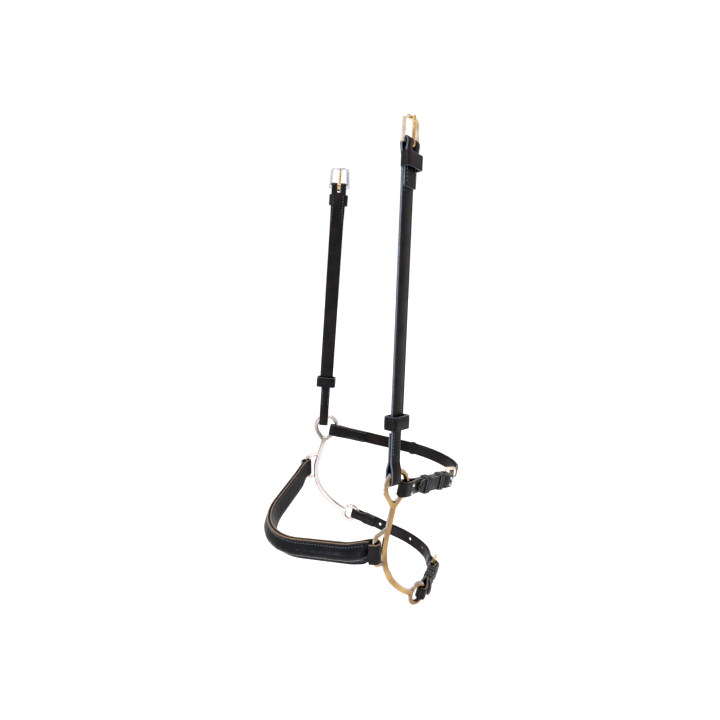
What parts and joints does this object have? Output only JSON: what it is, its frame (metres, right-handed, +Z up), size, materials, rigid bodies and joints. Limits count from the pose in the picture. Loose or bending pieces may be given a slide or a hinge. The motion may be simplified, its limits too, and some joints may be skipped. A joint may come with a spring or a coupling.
{
  "type": "bitless hackamore",
  "caption": "Short-shank bitless hackamore: curved steel side pieces, padded noseband, jaw and chin straps, buckled cheek straps.",
  "frame": {"origin": "midway between the heel bars of the two top buckles, where the headpiece holds the part", "axes": "+X across the head to the near side, -Y to the front of the nose, +Z up the cheek straps"},
  "size_m": [0.1802, 0.1863, 0.3825],
  "materials": {
    "side_steel": "polished with a warm tone",
    "strap_leather": "smooth and slightly glossy",
    "noseband_leather": "smooth and slightly glossy",
    "lining_leather": "soft and matt",
    "filling": "matt foam, sealed inside",
    "buckle_nickel": "polished",
    "buckle_brass": "polished"
  },
  "bodies": {
    "cheek_straps": {"near_cheek_strap": "strap_leather", "far_cheek_strap": "strap_leather", "near_fixed_keeper": "strap_leather", "far_fixed_keeper": "strap_leather"},
    "harness": {"near_side_piece": "side_steel", "far_side_piece": "side_steel", "noseband_lining": "lining_leather", "noseband_filling": "filling", "noseband_cover": "noseband_leather", "jaw_buckle_strap": "strap_leather", "jaw_billet_strap": "strap_leather", "jaw_buckle": "buckle_nickel", "jaw_fixed_keeper": "strap_leather", "jaw_end_keeper": "strap_leather", "jaw_rivets": "buckle_nickel", "chin_buckle_strap": "strap_leather", "chin_billet_strap": "strap_leather", "chin_buckle": "buckle_brass", "chin_fixed_keeper": "strap_leather", "chin_rivets": "buckle_brass"},
    "near_runner": {"near_runner": "strap_leather"},
    "far_runner": {"far_runner": "strap_leather"},
    "near_top_buckle": {"near_top_buckle": "buckle_nickel"},
    "far_top_buckle": {"far_top_buckle": "buckle_nickel"},
    "near_top_tongue": {"near_top_tongue": "buckle_brass"},
    "far_top_tongue": {"far_top_tongue": "buckle_brass"},
    "jaw_tongue": {"jaw_tongue": "buckle_nickel"},
    "jaw_runner": {"jaw_runner": "strap_leather"},
    "chin_tongue": {"chin_tongue": "buckle_brass"},
    "chin_runner": {"chin_runner": "strap_leather"}
  },
  "joints": [
    {"name": "harness_swing", "type": "hinge", "parent": "cheek_straps", "child": "harness", "pos_m": [0, -0.0114, -0.2412], "axis": [1, 0, 0], "range_deg": [-8, 15]},
    {"name": "near_runner_slide", "type": "slide", "parent": "cheek_straps", "child": "near_runner", "axis": [-0.053, 0.0616, 0.9967], "range_m": [-0.002, 0.15]},
    {"name": "near_buckle_tilt", "type": "hinge", "parent": "cheek_straps", "child": "near_top_buckle", "pos_m": [0.06901, 0.00092, 0.00004], "axis": [-0.4352, 0.8969, -0.0786], "range_deg": [-30, 25]},
    {"name": "near_tongue_lift", "type": "hinge", "parent": "near_top_buckle", "child": "near_top_tongue", "pos_m": [0.06901, 0.00092, 0.00004], "axis": [-0.4352, 0.8969, -0.0786], "range_deg": [0, 80]},
    {"name": "far_runner_slide", "type": "slide", "parent": "cheek_straps", "child": "far_runner", "axis": [0.053, 0.0616, 0.9967], "range_m": [-0.002, 0.15]},
    {"name": "far_buckle_tilt", "type": "hinge", "parent": "cheek_straps", "child": "far_top_buckle", "pos_m": [-0.06901, 0.00092, 0.00004], "axis": [-0.4352, -0.8969, 0.0786], "range_deg": [-30, 25]},
    {"name": "far_tongue_lift", "type": "hinge", "parent": "far_top_buckle", "child": "far_top_tongue", "pos_m": [-0.06901, 0.00092, 0.00004], "axis": [-0.4352, -0.8969, 0.0786], "range_deg": [0, 80]},
    {"name": "jaw_tongue_lift", "type": "hinge", "parent": "harness", "child": "jaw_tongue", "pos_m": [0.04882, 0.05079, -0.25879], "axis": [0, -0.2334, -0.9724], "range_deg": [0, 3]},
    {"name": "jaw_runner_slide", "type": "slide", "parent": "harness", "child": "jaw_runner", "axis": [-0.4413, 0.8726, -0.2095], "range_m": [-0.005, 0.005]},
    {"name": "chin_tongue_lift", "type": "hinge", "parent": "harness", "child": "chin_tongue", "pos_m": [0.0352, 0.04939, -0.35198], "axis": [0, -0.3007, -0.9537], "range_deg": [0, 3]},
    {"name": "chin_runner_slide", "type": "slide", "parent": "harness", "child": "chin_runner", "axis": [-0.7219, 0.6599, -0.2081], "range_m": [-0.0005, 0.003]}
  ]
}
